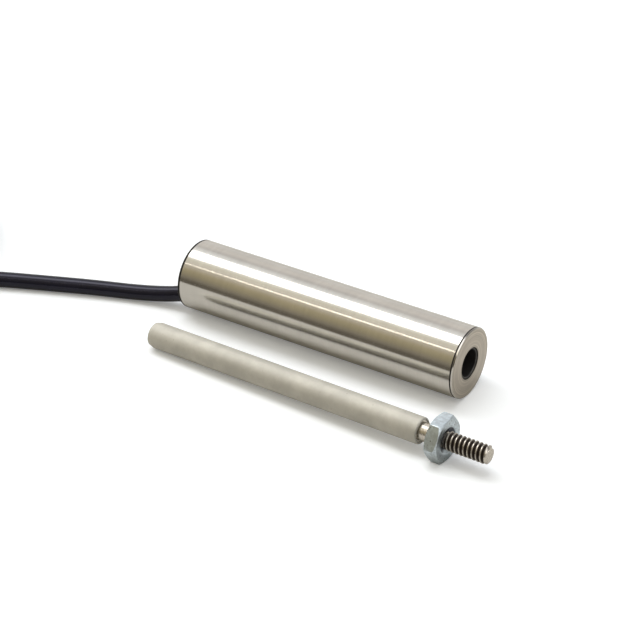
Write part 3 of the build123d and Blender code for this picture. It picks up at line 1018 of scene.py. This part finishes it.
class SENSOR_OT_cable(bpy.types.Operator):
    """Adds the cable, from the rear cap to its bare end on the coil"""
    bl_idname = "sensor.cable"
    bl_label = "Cable"

    def execute(self, context):
        cable = settings().cable
        points = cable_route() + coil_points()
        curve = bpy.data.curves.new("cable", "CURVE")
        curve.dimensions = "3D"
        line = curve.splines.new("NURBS")
        line.points.add(len(points) - 1)
        for point, spot in zip(line.points, points):
            point.co = (*spot, 1.0)
        line.order_u, line.use_endpoint_u = 3, True
        line.resolution_u = 6
        curve.bevel_depth, curve.bevel_resolution = cable.diameter / 2, 6
        curve.use_fill_caps = True
        piece = bpy.data.objects.new("cable", curve)
        context.scene.collection.objects.link(piece)
        black = jacket("black jacket", cable.jacket)
        dressed(piece, "housing", black, ["sensor_cable", "cable_coil"])
        return {"FINISHED"}


class SENSOR_OT_inner_finishes(bpy.types.Operator):
    """Finishes the pieces that stay inside the housing and the rod"""
    bl_idname = "sensor.inner_finishes"
    bl_label = "Inner finishes"

    def execute(self, context):
        shades = record_colours
        wire = wound_wire("enamelled wire", shades["winding_copper"])
        alloy = sheet_alloy("annealed shield sheet", shades["shield_alloy"])
        tin = tinned("tinned contacts", shades["contact_metal"])
        exit_y, exit_z = cable_route()[0][1:]
        finishes = {
            "coil_form": plastic("natural form plastic", shades["form_plastic"], rough=0.42),
            "front_secondary_winding": wire, "primary_winding": wire, "rear_secondary_winding": wire,
            "winding_leads": wire, "winding_tape": film_tape("amber film", shades["tape"]),
            "magnetic_shield": alloy, "front_shield_washer": alloy, "rear_shield_washer": alloy,
            "terminal_board": glass_board("glass-filled board", shades["board"]),
            "terminal_pins": tin, "cable_clamp": tin,
            "cable_conductors": core_colours("conductor colours", exit_y, exit_z),
            "cable_entry": jacket("jacket in the cap", settings().cable.jacket),
            "bore_end_plug": drawn_steel("plug steel", shades["liner_steel"]),
            "magnetic_core": sheet_alloy("annealed core alloy", shades["core_alloy"]),
            "core_spacer": drawn_steel("spacer steel", shades["rod_steel"], rod_place()),
        }
        for name, material in finishes.items():
            mesh = frame["nodes"][name].data
            mesh.materials.clear()
            mesh.materials.append(material)
        return {"FINISHED"}


# Stage operator

# What the studio shows round the housing, by the angle about X from the front horizon over the top
studio_tones = [
    (-90, (0.62, 0.6, 0.57)), (-20, (0.45, 0.43, 0.4)), (-6, (0.2, 0.18, 0.15)), (3, (0.13, 0.115, 0.09)),
    (14, (0.27, 0.24, 0.185)), (26, (0.37, 0.325, 0.215)), (38, (0.46, 0.4, 0.26)), (50, (0.6, 0.54, 0.43)),
    (62, (0.8, 0.75, 0.66)), (74, (0.86, 0.82, 0.68)), (82, (1.0, 0.98, 0.94)), (114, (1.0, 1.0, 1.0)),
    (122, (0.9, 0.89, 0.88)), (132, (0.68, 0.66, 0.64)), (146, (0.83, 0.79, 0.75)), (165, (0.77, 0.74, 0.71)),
    (182, (0.8, 0.79, 0.76)), (200, (0.85, 0.84, 0.82)), (269, (0.62, 0.6, 0.57)),
]


class SENSOR_OT_stage(bpy.types.Operator):
    """Adds the white table, the studio light and the camera"""
    bl_idname = "sensor.stage"
    bl_label = "Stage"

    def floor(self, stage):
        clear_selection()
        bpy.ops.mesh.primitive_plane_add(size=stage.floor_size, location=(0, 0, floor_height()))
        table = bpy.context.object
        table.name = "table"
        f = Finish("white table")
        rays = f.node("ShaderNodeLightPath")
        seen = rays.out("Is Camera Ray")
        mirrored = rays.out("Is Glossy Ray").maths("MAXIMUM", rays.out("Is Transmission Ray"))
        soft = 6 * MM
        near = f.y.within(stage.table_edge - soft, stage.table_edge + soft)
        lit = f.blend(near, (0.1, 0.09, 0.07, 1.0), (*stage.table, 1.0))
        glow = seen * stage.floor_glow + mirrored * near * stage.mirrored_glow
        f.done(Base_Color=f.blend(seen, lit, (*stage.floor, 1.0)), Roughness=0.9,
               Specular_IOR_Level=0.1, Emission_Color=f.combine(glow, glow, glow), Emission_Strength=1.0)
        table.data.materials.append(f.material)

    def studio(self, world, stage):
        """A warm, dim front and a pale back, with soft light overhead, a strip and a light to the right."""
        world.use_nodes = True
        s = Sheet(world.node_tree)
        way = s.node("ShaderNodeSeparateXYZ", {}, {"Vector": s.node("ShaderNodeTexCoord", output=0)})
        front, up = -way.out("Y"), way.out("Z")
        angle = up.maths("ARCTAN2", front) * (180 / pi)
        lap = (angle + 90.0).maths("WRAP", 360.0, 0.0)
        stops = [((a + 90) / 360, tone) for a, tone in studio_tones]
        tones = s.node("ShaderNodeValToRGB", {"stops": stops}, {"Fac": lap / 360.0})
        softbox = lap.within(170.5, 175.5) * lap.within(201.5, 196.5) * way.within(0.5, -0.1)
        strip = abs(lap - 147.2).within(0.9, 0.3) * way.within(0.2, 0.0) * way.within(-0.525, -0.49)
        side = lap.within(142.0, 152.0) * lap.within(228.0, 215.0) * way.within(0.58, 0.68)
        dim = 1.0 - way.within(0.0, 0.5) * stage.right_fall
        strength = (1.0 + softbox * stage.softbox + strip * stage.strip) * dim + side * stage.side
        light = s.node("ShaderNodeBackground", {}, {"Color": tones, "Strength": strength})
        white = s.node("ShaderNodeBackground", {}, {"Color": (1.0, 1.0, 1.0, 1.0), "Strength": 1.0})
        camera_ray = s.node("ShaderNodeLightPath")
        mixed = s.node("ShaderNodeMixShader", {}, {0: camera_ray, 1: light, 2: white})
        s.node("ShaderNodeOutputWorld", {}, {"Surface": mixed})

    def camera(self, context, stage):
        """The camera stands still, with its right, up and back directions as columns."""
        lens = bpy.data.cameras.new("studio_camera")
        lens.lens, lens.sensor_width = stage.lens, 36.0
        lens.clip_start, lens.clip_end = 0.02, 50.0
        camera = bpy.data.objects.new("studio_camera", lens)
        context.scene.collection.objects.link(camera)
        right, up = (0.84426, 0.53558, -0.01961), (-0.28089, 0.47336, 0.83488)
        back = (0.45643, -0.69935, 0.55008)
        axes = Matrix((right, up, back)).transposed()
        camera.matrix_world = Matrix.Translation(stage.camera) @ axes.to_4x4()
        context.scene.camera = camera

    def execute(self, context):
        stage = settings().stage
        self.floor(stage)
        world = bpy.data.worlds.new("studio")
        context.scene.world = world
        self.studio(world, stage)
        self.camera(context, stage)
        context.scene.view_settings.view_transform = "Standard"
        return {"FINISHED"}


class SENSOR_PT_sidebar(bpy.types.Panel):
    """Lists the pieces"""
    bl_idname = "SENSOR_PT_sidebar"
    bl_label = "Position sensor"
    bl_space_type = "VIEW_3D"
    bl_region_type = "UI"
    bl_category = "Sensor"

    def draw(self, context):
        for step in steps:
            self.layout.operator(step.bl_idname)


steps = (SENSOR_OT_barrel, SENSOR_OT_end_caps, SENSOR_OT_liner, SENSOR_OT_rod_tube, SENSOR_OT_stud,
         SENSOR_OT_nut, SENSOR_OT_tie, SENSOR_OT_leads, SENSOR_OT_cable, SENSOR_OT_inner_finishes,
         SENSOR_OT_stage)
classes = (HousingSettings, RodSettings, NutSettings, CableSettings, StageSettings, SensorSettings,
           *steps, SENSOR_PT_sidebar)


def register():
    for entry in classes:
        bpy.utils.register_class(entry)
    bpy.types.Scene.sensor = PointerProperty(type=SensorSettings)


def unregister():
    del bpy.types.Scene.sensor
    for entry in reversed(classes):
        bpy.utils.unregister_class(entry)


def main():
    register()
    bpy.ops.sensor.barrel()
    bpy.ops.sensor.end_caps()
    bpy.ops.sensor.liner()
    bpy.ops.sensor.rod_tube()
    bpy.ops.sensor.stud()
    bpy.ops.sensor.nut()
    bpy.ops.sensor.tie()
    bpy.ops.sensor.leads()
    bpy.ops.sensor.cable()
    bpy.ops.sensor.inner_finishes()
    bpy.ops.sensor.stage()


if __name__ == "__main__":
    main()
